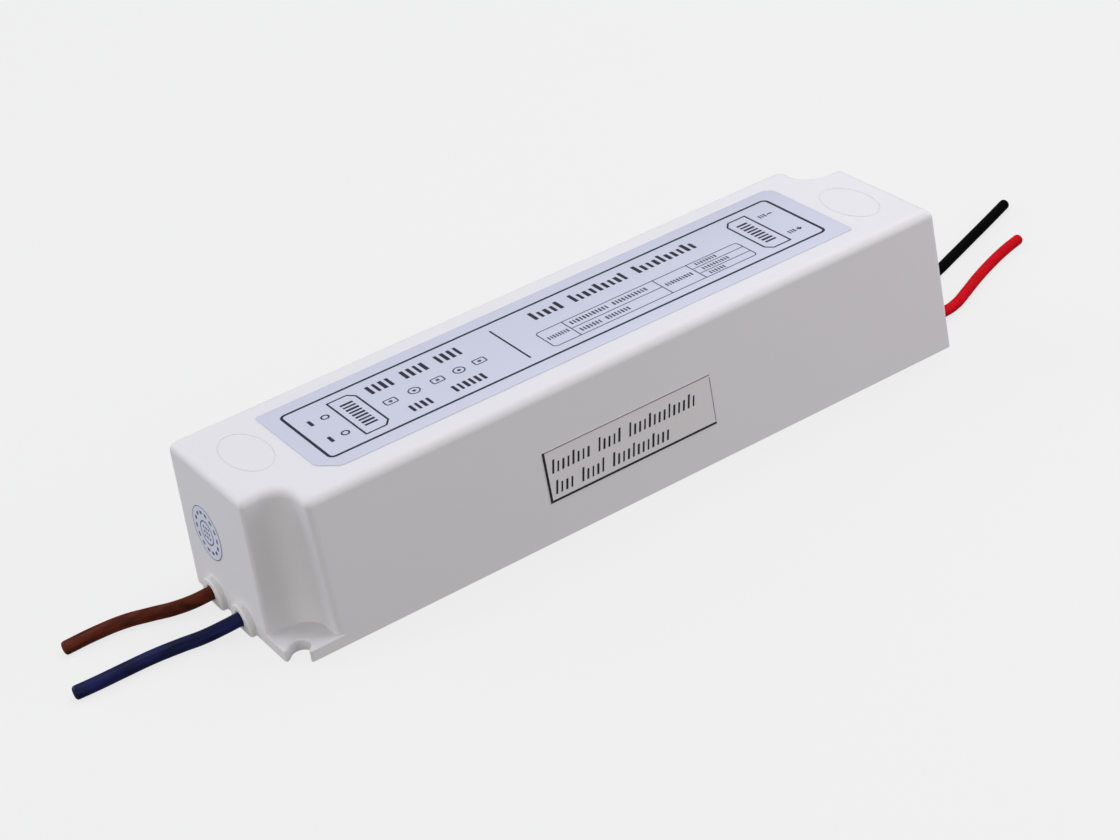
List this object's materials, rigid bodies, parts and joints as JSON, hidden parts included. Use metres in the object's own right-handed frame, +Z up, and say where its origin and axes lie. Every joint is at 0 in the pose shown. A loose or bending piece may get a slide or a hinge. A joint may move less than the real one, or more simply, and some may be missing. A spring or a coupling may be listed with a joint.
{
  "type": "led driver",
  "caption": "Long white moulded driver case with a printed top label, slotted screw ears in opposite corner recesses, and coloured leads leaving both ends through grommets.",
  "frame": {"origin": "centre of the foot, on the surface that the case stands on", "axes": "+X along the case from the mains end to the output end, +Y across it to the back long side, +Z up through the label"},
  "size_m": [0.2484, 0.0426, 0.0332],
  "materials": {
    "case_plastic": "white, finely textured satin moulding",
    "cover_plastic": "white satin moulding",
    "potting": "dark grey poured compound",
    "board": "green lacquered glass laminate",
    "label_film": "printed film with a dull sheen",
    "clear_film": "clear film",
    "round_film": "printed film",
    "grommet_rubber": "off-white, soft sheen",
    "brown_insulation": "soft sheen",
    "blue_insulation": "soft sheen",
    "black_insulation": "soft sheen",
    "red_insulation": "soft sheen",
    "tinned_copper": "tinned and soldered",
    "black_mould": "moulded",
    "blue_epoxy": "dipped",
    "dark_ceramic": "dipped",
    "yellow_case": "moulded",
    "coated_ferrite": "coated",
    "ferrite": "ground",
    "enamelled_wire": "enamelled copper",
    "black_sleeve": "shrunk sleeve",
    "green_sleeve": "shrunk sleeve",
    "heat_sink": "mill",
    "screw_steel": "zinc plated",
    "tan_lacquer": "lacquered",
    "yellow_tape": "wound tape"
  },
  "bodies": {
    "root": {"case_shell": "case_plastic", "base_cover": "cover_plastic", "potting_compound": "potting", "circuit_board": "board", "top_label": "label_film", "side_sticker": "clear_film", "end_sticker": "round_film", "brown_grommet": "grommet_rubber", "blue_grommet": "grommet_rubber", "black_grommet": "grommet_rubber", "red_grommet": "grommet_rubber", "brown_lead": "brown_insulation", "blue_lead": "blue_insulation", "black_lead": "black_insulation", "red_lead": "red_insulation", "lead_cores": "tinned_copper", "fuse": "black_mould", "varistor": "blue_epoxy", "inrush_limiter": "dark_ceramic", "film_capacitor": "yellow_case", "choke_core": "coated_ferrite", "choke_windings": "enamelled_wire", "bridge_rectifier": "black_mould", "bulk_capacitor": "black_sleeve", "input_heat_sink": "heat_sink", "switching_transistor": "black_mould", "output_heat_sink": "heat_sink", "output_rectifier": "black_mould", "heat_sink_screws": "screw_steel", "control_chip": "black_mould", "resistors": "tan_lacquer", "coupler": "black_mould", "safety_capacitor": "blue_epoxy", "transformer_core": "ferrite", "transformer_bobbin": "black_mould", "transformer_winding": "yellow_tape", "output_capacitors": "green_sleeve", "output_choke_core": "ferrite", "output_choke_winding": "enamelled_wire"}
  },
  "joints": []
}
